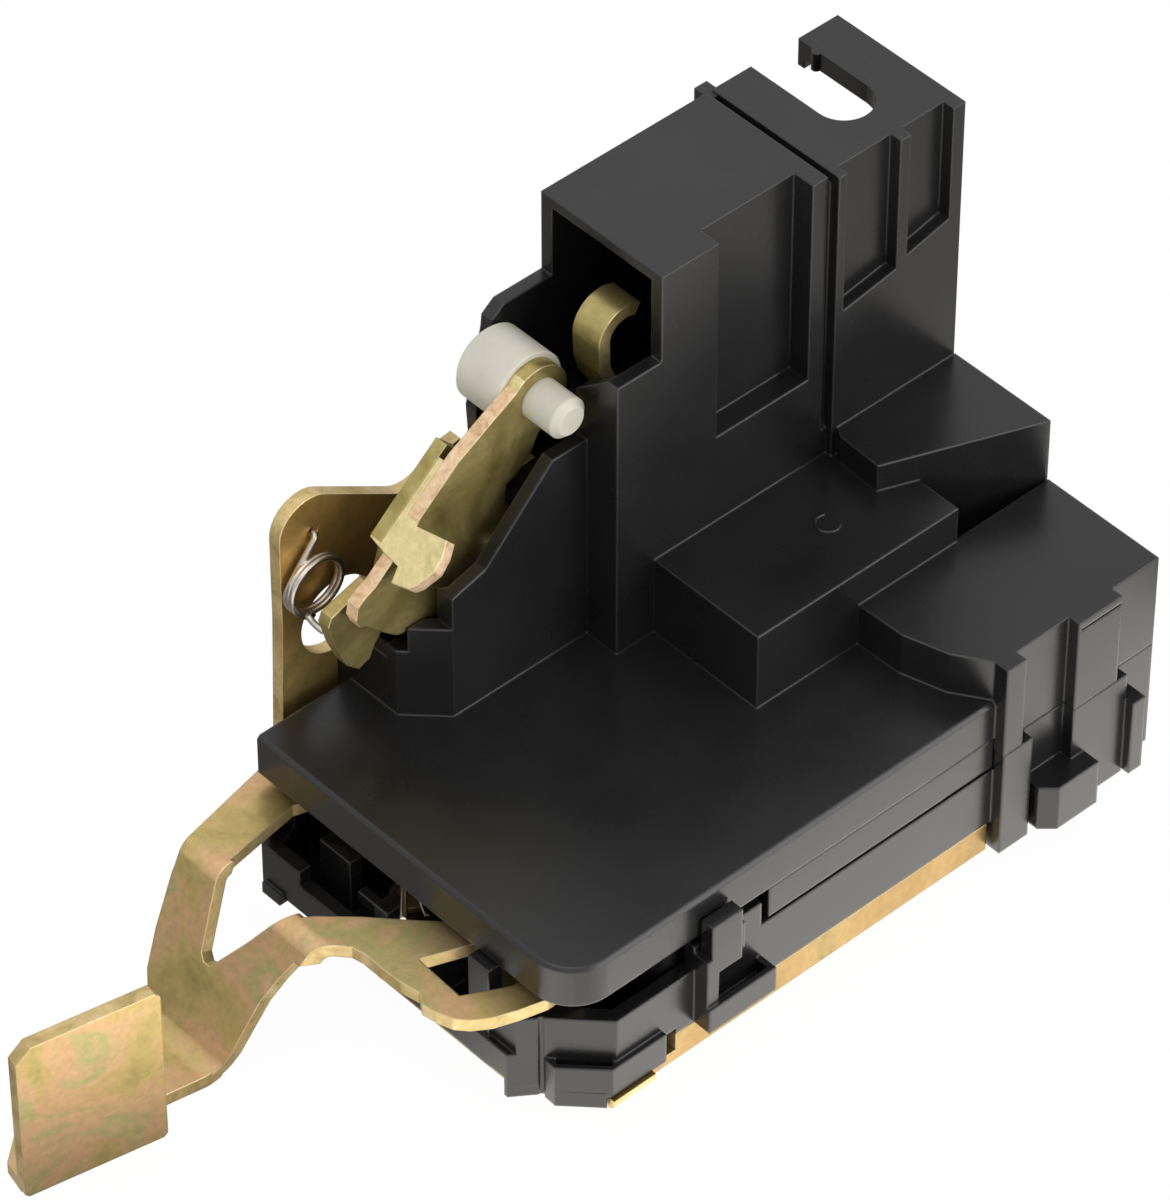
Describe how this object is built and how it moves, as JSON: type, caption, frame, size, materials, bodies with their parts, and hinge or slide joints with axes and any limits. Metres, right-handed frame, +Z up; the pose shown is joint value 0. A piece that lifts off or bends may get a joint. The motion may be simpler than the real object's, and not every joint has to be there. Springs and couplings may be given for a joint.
{
  "type": "door latch actuator",
  "caption": "Moulded latch actuator on a folded steel bracket, with a push lever, a swing lever, a lock hook and a worm drive.",
  "frame": {"origin": "centre of the bracket's four-bolt pattern, on the underside of its base plate", "axes": "+Z up out of the base plate through the cover, +Y towards the slotted tower and the connector, +X towards the snap basket side"},
  "size_m": [0.0698, 0.1604, 0.0932],
  "materials": {
    "black_plastic": "satin, finely textured",
    "plated_steel": "yellow zinc plated sheet",
    "bright_steel": "bright drawn steel",
    "spring_wire": "drawn spring wire",
    "pale_nylon": "natural, slightly translucent",
    "brass": "turned",
    "magnet": "sintered",
    "board": "coated laminate"
  },
  "bodies": {
    "housing": {"steel_bracket": "plated_steel", "lower_housing": "black_plastic", "middle_frame": "black_plastic", "top_cover": "black_plastic", "bracket_rivet_1": "plated_steel", "bracket_rivet_2": "plated_steel", "bracket_rivet_3": "plated_steel", "housing_screw_1": "bright_steel", "housing_screw_2": "bright_steel", "housing_screw_3": "bright_steel", "housing_screw_4": "bright_steel", "housing_screw_5": "bright_steel", "housing_screw_6": "bright_steel", "release_lever_pin": "bright_steel", "release_lever_spring": "spring_wire", "swing_lever_pin": "bright_steel", "toggle_spring": "spring_wire", "lock_lever_pin": "bright_steel", "wheel_axle": "bright_steel", "worm_tail_bearing": "brass", "motor_can": "bright_steel", "motor_end_cap": "black_plastic", "motor_magnet_left": "magnet", "motor_magnet_right": "magnet", "circuit_board": "board", "switch_body_1": "black_plastic", "switch_body_2": "black_plastic", "terminal_1": "brass", "terminal_2": "brass", "terminal_3": "brass", "terminal_4": "brass", "terminal_5": "brass"},
    "release": {"release_lever": "plated_steel"},
    "swing": {"swing_lever": "plated_steel", "rod_bush": "pale_nylon"},
    "lock": {"lock_lever": "plated_steel"},
    "slider": {"lock_slider": "pale_nylon"},
    "wheel": {"worm_wheel": "pale_nylon"},
    "rotor": {"motor_shaft": "bright_steel", "motor_armature": "magnet", "worm": "brass"},
    "plunger_a": {"switch_plunger_1": "pale_nylon"},
    "plunger_b": {"switch_plunger_2": "pale_nylon"}
  },
  "joints": [
    {"name": "release_pivot", "type": "hinge", "parent": "housing", "child": "release", "pos_m": [-0.0255, -0.038, 0.0174], "axis": [0, 0, 1], "range_deg": [-5, 0], "stiffness_Nm_per_rad": 0.05, "springref_deg": 6.88, "deforming": ["release_lever_spring"]},
    {"name": "swing_pivot", "type": "hinge", "parent": "housing", "child": "swing", "pos_m": [-0.023, -0.017, 0.046], "axis": [1, 0, 0], "range_deg": [-1, 8], "deforming": ["toggle_spring"]},
    {"name": "wheel_spin", "type": "hinge", "parent": "housing", "child": "wheel", "pos_m": [0, 0.007, 0.012], "axis": [0, 0, 1], "range_deg": [-6, 33]},
    {"name": "lock_slide", "type": "slide", "parent": "housing", "child": "slider", "axis": [0, 1, 0], "range_m": [-0.00288, 0.00052]},
    {"name": "lock_pivot", "type": "hinge", "parent": "housing", "child": "lock", "pos_m": [-0.0195, 0.012, 0.044], "axis": [1, 0, 0], "range_deg": [-8.2, 1.5]},
    {"name": "rotor_spin", "type": "hinge", "parent": "housing", "child": "rotor", "pos_m": [0.0161, 0, 0.012], "axis": [0, 1, 0], "range_deg": [-800, 150]},
    {"name": "plunger_a_slide", "type": "slide", "parent": "housing", "child": "plunger_a", "axis": [0, 0, 1], "range_m": [-0.0008, 0], "stiffness_N_per_m": 60, "springref_m": 0.0006},
    {"name": "plunger_b_slide", "type": "slide", "parent": "housing", "child": "plunger_b", "axis": [0, 0, 1], "range_m": [-0.0008, 0], "stiffness_N_per_m": 60, "springref_m": 0.0006}
  ],
  "couplings": [
    {"joint": "lock_slide", "follows": "wheel_spin", "m_per_rad": -0.005},
    {"joint": "lock_pivot", "follows": "wheel_spin", "ratio": -0.2381},
    {"joint": "rotor_spin", "follows": "wheel_spin", "ratio": -24}
  ]
}
